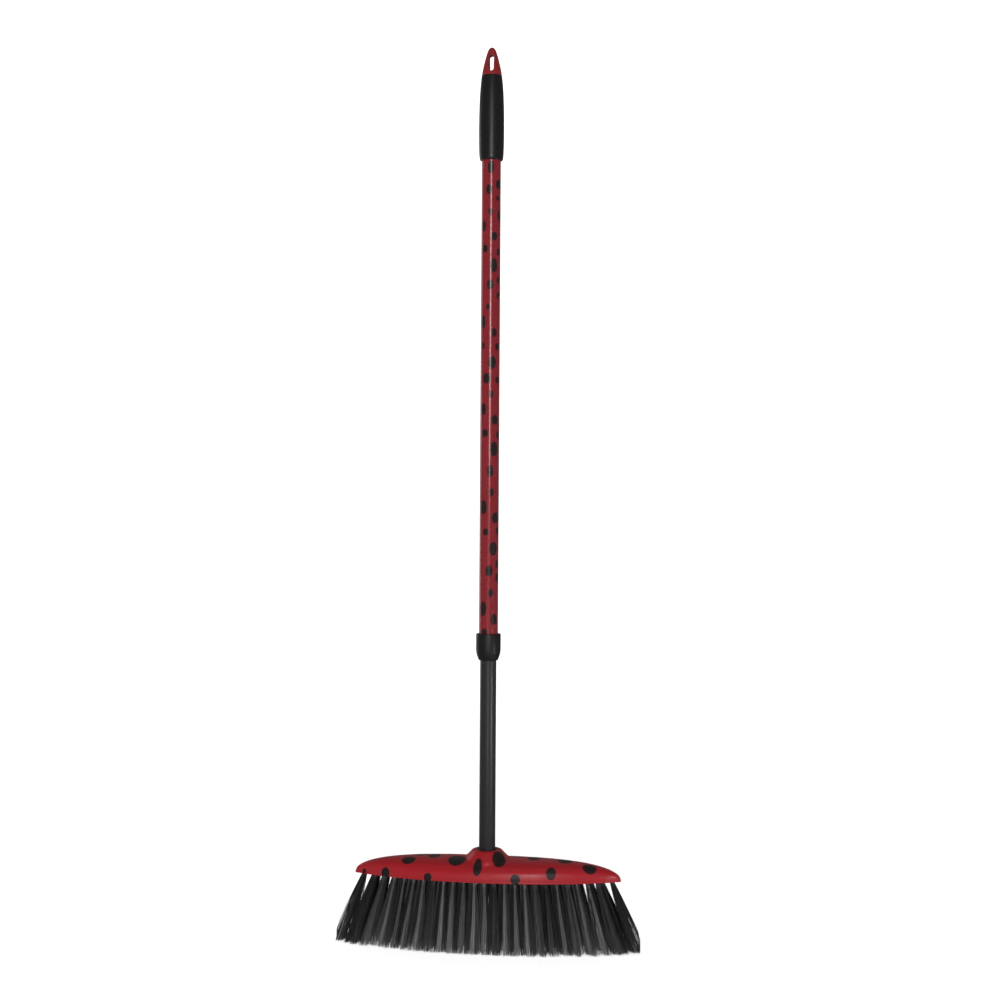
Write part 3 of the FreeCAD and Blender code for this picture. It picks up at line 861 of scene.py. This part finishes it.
            # painted shade: strands are darkened near the roots, under the head, and made paler towards the
            # front-lit tips
            root_shade_fade = 0.25 + 0.95 * (n / self.spans) ** 0.7
            for vert in fresh:
                old = next(e.other_vert(vert) for e in vert.link_edges if e.other_vert(vert) in owner)
                number, c = owner[old]
                following[vert] = (number, c)
                vert.co = (paths[number][n] + corner[c] * (1.0 if n < self.spans else 0.75)) * MM
                vert[shade] = shades[number] * root_shade_fade
            owner = following
        bmesh.ops.recalc_face_normals(bm, faces=bm.faces)
        piece = finish_piece(node.replace("tufts", "bristles"), bm, self.material, 180)
        declare(piece, Body.HEAD, "bristle_black", node)
        return piece

    def build(self) -> list[bpy.types.Object]:
        """Every row of the brush."""
        return [self.row(name) for name in sorted(self.nodes) if name.endswith("_tufts")]


# ---------------------------------------------------------------- handle


@dataclass
class PrintedWrap:
    """Red film with black ovals round the upper tube, lapped at the back.  Sizes in millimetres."""

    radius: float
    low: float
    high: float
    material: bpy.types.Material
    segments: int = 96
    step: float = 1.3
    film: float = 0.15
    lap: float = 0.14
    lap_degrees: float = 26.0
    front_degrees: float = 7.6

    def place(self, radius: float, height: float) -> Place:
        """Places a ring round the tube, with the lap standing proud at the back."""
        def at(i: int) -> Vector:
            degrees = 360.0 * i / self.segments
            lapped = radius > self.radius - self.film / 2 and 180 - self.lap_degrees < degrees < 180
            reach = radius if lapped else radius - self.lap * (radius > self.radius - self.film / 2)
            angle = math.radians(degrees)
            return Vector((math.sin(angle) * reach, -math.cos(angle) * reach, height)) * MM
        return at

    def shape(self) -> bmesh.types.BMesh:
        """A thin sleeve, open at the ends except for the film's own thickness."""
        skin = RingSkin(self.segments)
        inner = self.radius - self.lap - self.film
        skin.start(self.place(inner, self.low), capped=False)
        first = list(skin.edges)
        rows = round((self.high - self.low) / self.step)
        for k in range(rows + 1):
            skin.grow(self.place(self.radius, self.low + (self.high - self.low) * k / rows))
        skin.grow(self.place(inner, self.high))
        bmesh.ops.bridge_loops(skin.bm, edges=first + skin.edges)
        bmesh.ops.recalc_face_normals(skin.bm, faces=skin.bm.faces)
        return skin.bm

    def spot(self, height: float, bearing: float, width: float, tall: float, lean: float = 0.0) -> Spot:
        """An oval at a height and a bearing from the front, in degrees towards +X."""
        angle = math.radians(bearing + self.front_degrees)
        centre = Vector((math.sin(angle) * self.radius, -math.cos(angle) * self.radius, height))
        across = Vector((math.cos(angle), math.sin(angle), 0))
        return Spot(centre, width / 2, tall / 2, across, lean)

    def print_spots(self) -> list[Spot]:
        """The ovals on the film: the front's chosen one by one, the back's at seeded places."""
        front = [
            (884, -2, 7.6, 15), (865, 50, 8, 11), (859, -12, 7.6, 11), (849, 43, 4.7, 5.7),
            (834, -3, 5.5, 8), (830, 57, 6, 12), (818, -48, 6, 12.5), (806, 21, 7, 10),
            (792, -38, 7, 9), (788, 54, 6, 8.7), (773, 19, 8.5, 16), (756, 51, 5, 8),
            (751, -3, 7.6, 11.4), (739, 52, 5, 8), (726, -16, 4, 7), (709, -48, 6, 16),
            (697, 25, 6.3, 10), (682, -47, 5, 8), (681, 46, 6.5, 8.7), (663, 12, 9.3, 14.5),
            (645, -23, 8.7, 12.2), (643, 48, 6, 8), (627, 6, 5.2, 8.7), (610, -43, 7, 13.7),
            (598, 33, 8.9, 11), (583, -30, 7.4, 9), (581, 61, 7, 9), (565, 29, 9.5, 16.5),
            (540, 4, 7.2, 13.7), (516, 13, 5.8, 8.8), (499, -38, 8.7, 16), (487, 41, 9.5, 12.5),
            (471, -22, 6.9, 8), (472, 58, 6, 9), (452, 28, 10, 15.5), (434, 58, 6, 9),
            (427, 1, 8.3, 12.5), (419, 58, 6, 11), (402, 12, 5.8, 9.6), (384, -36, 7.9, 16.8),
            (372, 36, 8.9, 12.5), (358, -27, 7.2, 7)]
        spots = [self.spot(*values) for values in front]  # height, bearing, width, tall
        picks = random.Random(23)
        height = self.low + 22
        turn = 0.0
        while height < self.high - 60:
            turn = (turn + picks.uniform(62, 104)) % 178
            tall = picks.uniform(7.5, 16)
            width = picks.uniform(0.5, 0.68) * tall
            spots.append(self.spot(height, 91 + turn, width, tall, picks.uniform(-5, 5)))
            height += picks.uniform(8.5, 13.5)
        return spots

    def build(self) -> bpy.types.Object:
        bm = self.shape()
        outside = self.radius - self.lap - self.film / 2

        def painted(point: Vector) -> bool:
            return math.hypot(point.x, point.y) > outside

        paint_spots(bm, self.print_spots(), 16.0, painted)
        piece = finish_piece("printed_film", bm, self.material, 30)
        declare(piece, Body.UPPER_POLE, "film_red", "printed_wrap")
        return piece


@dataclass
class LowerTube:
    """Black enamelled steel tube with rolled-in ends.  Sizes in millimetres."""

    radius: float
    low: float
    high: float
    material: bpy.types.Material
    wall: float = 0.6
    edge: float = 0.25

    def build(self) -> bpy.types.Object:
        inner = self.radius - self.wall
        outline = rounded([(inner, self.low, 0), (self.radius, self.low, self.edge),
                           (self.radius, self.high, self.edge), (inner, self.high, 0)])
        piece = finish_piece("lower_tube_enamelled", spun(outline, 112), self.material)
        declare(piece, Body.LOWER_POLE, "tube_black", "lower_tube")
        return piece


@dataclass
class GuideCollar:
    """Black moulded collar, straight above and drawn in below.  Sizes in millimetres."""

    radius: float
    low: float
    high: float
    material: bpy.types.Material
    bore_r: float = 9.4
    shoulder_z: float = 334.0
    tube_r: float = 11.0
    edge: float = 0.5

    def outline(self) -> Outline:
        """The collar's section."""
        side = smooth_line([(self.radius, self.low + 12.0), (self.radius - 0.45, self.low + 8.4),
                            (self.radius - 1.45, self.low + 4.6), (self.radius - 2.7, self.low + 1.2)], 5)
        foot = [(self.radius - 3.1, self.low + 0.3), (self.radius - 3.6, self.low),
                (self.bore_r + 0.3, self.low), (self.bore_r, self.low + 0.4)]
        bore = [(self.bore_r, self.shoulder_z), (self.tube_r, self.shoulder_z),
                (self.tube_r, self.high - 0.2), (self.tube_r + 0.2, self.high)]
        rim = [(self.radius - self.edge, self.high), (self.radius - 0.15, self.high - 0.15),
               (self.radius, self.high - self.edge)]
        return side + foot + bore + rim

    def build(self) -> bpy.types.Object:
        piece = finish_piece("guide_collar_moulding", spun(self.outline(), 112), self.material)
        declare(piece, Body.UPPER_POLE, "collar_black", "guide_collar")
        return piece


@dataclass
class HandGrip:
    """Black barrel-shaped grip.  Sizes in millimetres."""

    low: float
    high: float
    material: bpy.types.Material
    tube_r: float = 11.06
    tube_top: float = 980.0
    neck_r: float = 10.3

    def outline(self) -> Outline:
        """The grip's section, from its foot up the outside and down the bore."""
        side = smooth_line([(12.5, self.low + 0.05), (13.1, self.low + 0.9), (13.6, self.low + 3.6),
                            (13.95, self.low + 8.5), (14.25, self.low + 19), (14.35, self.low + 37),
                            (14.15, self.low + 55), (13.75, self.low + 69), (13.25, self.low + 79),
                            (12.5, self.low + 88), (11.75, self.high - 1.2), (11.5, self.high - 0.35),
                            (11.2, self.high)], 4)
        inside = [(self.neck_r, self.high), (self.neck_r, self.tube_top), (self.tube_r, self.tube_top),
                  (self.tube_r, self.low)]
        return side + inside

    def build(self) -> bpy.types.Object:
        piece = finish_piece("hand_grip_moulding", spun(self.outline(), 112), self.material, 50)
        declare(piece, Body.UPPER_POLE, "grip_black", "hand_grip")
        return piece


@dataclass
class HangerTip:
    """Red bullet-shaped tip with a hanging slot, and its plug.  Sizes in millimetres."""

    base: float
    top: float
    plug_low: float
    material: bpy.types.Material
    slot_low: float = 993.5
    slot_high: float = 1012.5
    slot_width: float = 6.0
    plug_r: float = 10.2
    voxel: float = 0.34

    def outline(self) -> Outline:
        """The tip's section down to its plug."""
        nose = self.top
        side = smooth_line([(0.0, nose), (2.1, nose - 0.75), (3.75, nose - 2.6), (4.95, nose - 5.1),
                            (6.45, nose - 9.7), (8.85, nose - 18.8), (10.8, nose - 27.9),
                            (11.35, self.base + 0.5)], 5)
        return side + [(11.1, self.base), (self.plug_r, self.base), (self.plug_r, self.plug_low + 1.5),
                       (self.plug_r - 0.9, self.plug_low), (0.0, self.plug_low)]

    def slot_cutter(self) -> bpy.types.Object:
        """A prism with round ends, through the tip from front to back."""
        bm = bmesh.new()
        half = self.slot_width / 2
        made = bmesh.ops.create_circle(bm, cap_ends=True, segments=32, radius=half * MM)["verts"]
        shift = (self.slot_high - self.slot_low) / 2 - half
        for vert in made:
            x, z = vert.co.x, vert.co.y + math.copysign(shift, vert.co.y) * MM
            vert.co = (x, -20 * MM, z + (self.slot_low + self.slot_high) / 2 * MM)
        swept = bmesh.ops.extrude_face_region(bm, geom=list(bm.faces), use_keep_orig=True)["geom"]
        bmesh.ops.translate(bm, verts=[g for g in swept if isinstance(g, bmesh.types.BMVert)],
                            vec=(0, 40 * MM, 0))
        bmesh.ops.recalc_face_normals(bm, faces=bm.faces)
        mesh = bpy.data.meshes.new("slot_cutter")
        bm.to_mesh(mesh)
        bm.free()
        cutter = bpy.data.objects.new("slot_cutter", mesh)
        bpy.context.scene.collection.objects.link(cutter)
        return cutter

    def build(self) -> bpy.types.Object:
        blank = finish_piece("tip_blank", spun(self.outline(), 72), self.material)
        cutter = self.slot_cutter()
        cut = blank.modifiers.new("slot", "BOOLEAN")
        cut.object = cutter
        cut.solver = "EXACT"
        remesh = blank.modifiers.new("even", "REMESH")
        remesh.voxel_size = self.voxel * MM
        graph = bpy.context.evaluated_depsgraph_get()
        bm = bmesh.new()
        bm.from_mesh(blank.evaluated_get(graph).data)
        for unwanted in (blank, cutter):
            bpy.data.objects.remove(unwanted)
        for _ in range(4):
            bmesh.ops.smooth_vert(bm, verts=bm.verts, factor=0.5, use_axis_x=True, use_axis_y=True,
                                  use_axis_z=True)
        piece = finish_piece("hanger_tip_moulding", bm, self.material, 180)
        declare(piece, Body.UPPER_POLE, "cap_red", "hanger_cap")
        return piece


# ---------------------------------------------------------------- studio


@dataclass
class Softbox:
    """A rectangular light that faces a target.  Sizes in metres, azimuth in degrees from the front."""

    name: str
    azimuth: float
    distance: float
    height: float
    width: float
    tall: float
    watts: float
    target: tuple[float, float, float] = (0.0, 0.0, 0.5)
    glossy: bool = True

    def build(self) -> bpy.types.Object:
        """Makes the light."""
        data = bpy.data.lights.new(self.name, "AREA")
        data.shape = "RECTANGLE"
        data.size, data.size_y = self.width, self.tall
        data.energy = self.watts
        light = bpy.data.objects.new(self.name, data)
        angle = math.radians(self.azimuth)
        light.location = (self.distance * math.sin(angle), -self.distance * math.cos(angle), self.height)
        aim = Vector(self.target) - light.location
        light.rotation_mode = "QUATERNION"
        light.rotation_quaternion = aim.to_track_quat("-Z", "Y")
        light.visible_camera = False
        light.visible_glossy = self.glossy
        bpy.context.scene.collection.objects.link(light)
        return light


@dataclass(frozen=True)
class GlowingPaper(Finish):
    """Pale paper that glows a little, more so far from the middle."""

    near_glow: float = 0.6
    far_glow: float = 0.95
    near: float = 0.5
    far: float = 2.6

    def dress(self, tree: bpy.types.NodeTree, shader: bpy.types.ShaderNode) -> None:
        """Adds the glow to the plain paper."""
        super().dress(tree, shader)
        reach = tree.nodes.new("ShaderNodeVectorMath")
        reach.operation = "LENGTH"
        tree.links.new(self.place(tree), reach.inputs[0])
        glow = self.ranged(tree, reach.outputs["Value"], self.near_glow, self.far_glow, self.near, self.far)
        shader.inputs["Emission Color"].default_value = (1.0, 1.0, 1.0, 1.0)
        tree.links.new(glow, shader.inputs["Emission Strength"])


@dataclass
class Studio:
    """Pale floor that sweeps up behind, soft light, and the camera."""

    azimuth: float = 7.6
    distance: float = 2.0
    height: float = 0.545
    roll: float = 0.36
    lens: float = 63.28
    shift_x: float = 0.0105
    shift_y: float = -0.0334
    half_floor: float = 6.0

    def sweep(self) -> bpy.types.Object:
        """The floor and its backdrop in one bent sheet."""
        bm = bmesh.new()
        bmesh.ops.create_grid(bm, x_segments=1, y_segments=1, size=self.half_floor)
        back = [e for e in bm.edges if all(v.co.y > self.half_floor - 0.1 for v in e.verts)]
        risen = bmesh.ops.extrude_edge_only(bm, edges=back)["geom"]
        bmesh.ops.translate(bm, verts=[g for g in risen if isinstance(g, bmesh.types.BMVert)],
                            vec=(0, 0, self.half_floor))
        bmesh.ops.bevel(bm, geom=back, offset=2.0, segments=24, profile=0.5, affect="EDGES", material=-1)
        bmesh.ops.recalc_face_normals(bm, faces=bm.faces)
        paper = GlowingPaper("floor_paper", (0.8, 0.8, 0.8), roughness=0.9, specular=0.1, mottle=0.01,
                             mottle_size=400, grain_size=3, grain_depth=20)
        floor = finish_piece("studio_floor", bm, paper.build(), 60)
        floor.visible_glossy = False
        floor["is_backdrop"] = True
        return floor

    def world(self) -> None:
        """Dim, even white surroundings."""
        world = bpy.data.worlds.new("soft_white")
        world.use_nodes = True
        background = world.node_tree.nodes["Background"]
        background.inputs["Color"].default_value = (1.0, 1.0, 1.0, 1.0)
        background.inputs["Strength"].default_value = 0.14
        bpy.context.scene.world = world

    def camera(self) -> None:
        """The level camera, slightly right of the front."""
        data = bpy.data.cameras.new("camera")
        data.lens = self.lens
        data.sensor_width = 36.0
        data.shift_x, data.shift_y = self.shift_x, self.shift_y
        camera = bpy.data.objects.new("camera", data)
        angle = math.radians(self.azimuth)
        place = Vector((self.distance * math.sin(angle), -self.distance * math.cos(angle), self.height))
        turn = Matrix.Rotation(angle, 4, "Z") @ Matrix.Rotation(math.pi / 2, 4, "X")
        camera.matrix_world = (Matrix.Translation(place) @ turn
                               @ Matrix.Rotation(math.radians(self.roll), 4, "Z"))
        bpy.context.scene.collection.objects.link(camera)
        bpy.context.scene.camera = camera

    def lights(self) -> None:
        """Soft boxes in front, on both sides and above."""
        for box in (Softbox("front_strip", 8, 2.3, 0.95, 0.28, 0.85, 12),
                    Softbox("low_strip", 60, 0.8, 0.11, 0.07, 0.18, 0.9, (0.0, 0.0, 0.12)),
                    Softbox("front_low", -8, 2.0, 0.06, 0.5, 0.1, 0.5, (0.0, 0.0, 0.06)),
                    Softbox("pole_strip", 9, 0.8, 0.1, 0.08, 0.18, 0.35, (0.0, 0.0, 0.12)),
                    Softbox("left_rim", -122, 1.6, 0.6, 0.4, 1.4, 3),
                    Softbox("front_fill", -14, 2.4, 0.5, 1.0, 0.5, 13, (0.0, 0.0, 0.1), glossy=False),
                    Softbox("left_fill", -60, 2.2, 0.8, 1.0, 1.6, 9, glossy=False),
                    Softbox("right_fill", 70, 2.4, 0.8, 1.0, 1.6, 6, glossy=False),
                    Softbox("overhead", 0, 0.6, 2.4, 2.0, 1.4, 10, glossy=False)):
            box.build()

    def build(self) -> None:
        """Sets the stage."""
        self.camera()
        self.sweep()
        self.world()
        self.lights()
        bpy.context.scene.view_settings.view_transform = "Standard"


# ---------------------------------------------------------------- the whole broom


@dataclass
class Broom:
    """The assembly, placed by the boxes of the frame's nodes."""

    nodes: dict[str, bpy.types.Object]
    finishes: Finishes
    low: Vector
    high: Vector

    @staticmethod
    def span(node: str) -> tuple[Vector, Vector]:
        """A node's lowest and highest corners, in millimetres."""
        low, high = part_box(node)
        return Vector(low) / MM, Vector(high) / MM

    def head(self) -> None:
        """The cover and the bristles."""
        low, high = self.span("head_cover")
        HeadCover(high.x, (high.y - low.y) / 2, low.z, high.z, self.finishes.head_red).build()
        Bristles(self.nodes, self.finishes.bristle_black, self.low / MM, self.high / MM).build()

    def handle(self) -> None:
        """The tubes, the collar, the grip and the tip."""
        low, high = self.span("lower_tube")
        LowerTube(high.x, low.z, high.z, self.finishes.tube_black).build()
        low, high = self.span("printed_wrap")
        PrintedWrap(high.x, low.z, high.z, self.finishes.film_red).build()
        low, high = self.span("guide_collar")
        GuideCollar(high.x, low.z, high.z, self.finishes.collar_black).build()
        low, high = self.span("hand_grip")
        HandGrip(low.z, high.z, self.finishes.grip_black).build()
        base = high.z
        low, high = self.span("hanger_cap")
        HangerTip(base, high.z, low.z, self.finishes.cap_red).build()

    def build(self) -> None:
        """Builds every piece and dresses the nodes that stay."""
        self.head()
        self.handle()
        self.finishes.dress_nodes(self.nodes)


def corners(box: tuple[Vector, Vector]) -> list[list[float]]:
    """A box as plain lists of numbers."""
    return [[float(value) for value in corner] for corner in box]


def main() -> None:
    """Loads the frame, builds the broom and its stage, and works out both boxes."""
    logging.basicConfig(level=logging.INFO, format="%(name)s %(message)s")
    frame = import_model()
    cad_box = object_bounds()
    Studio().build()
    Broom(frame["nodes"], Finishes(), *(Vector(corner) for corner in cad_box)).build()
    {"cad": corners(cad_box), "visual": corners(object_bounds())}


if __name__ == "__main__":
    main()
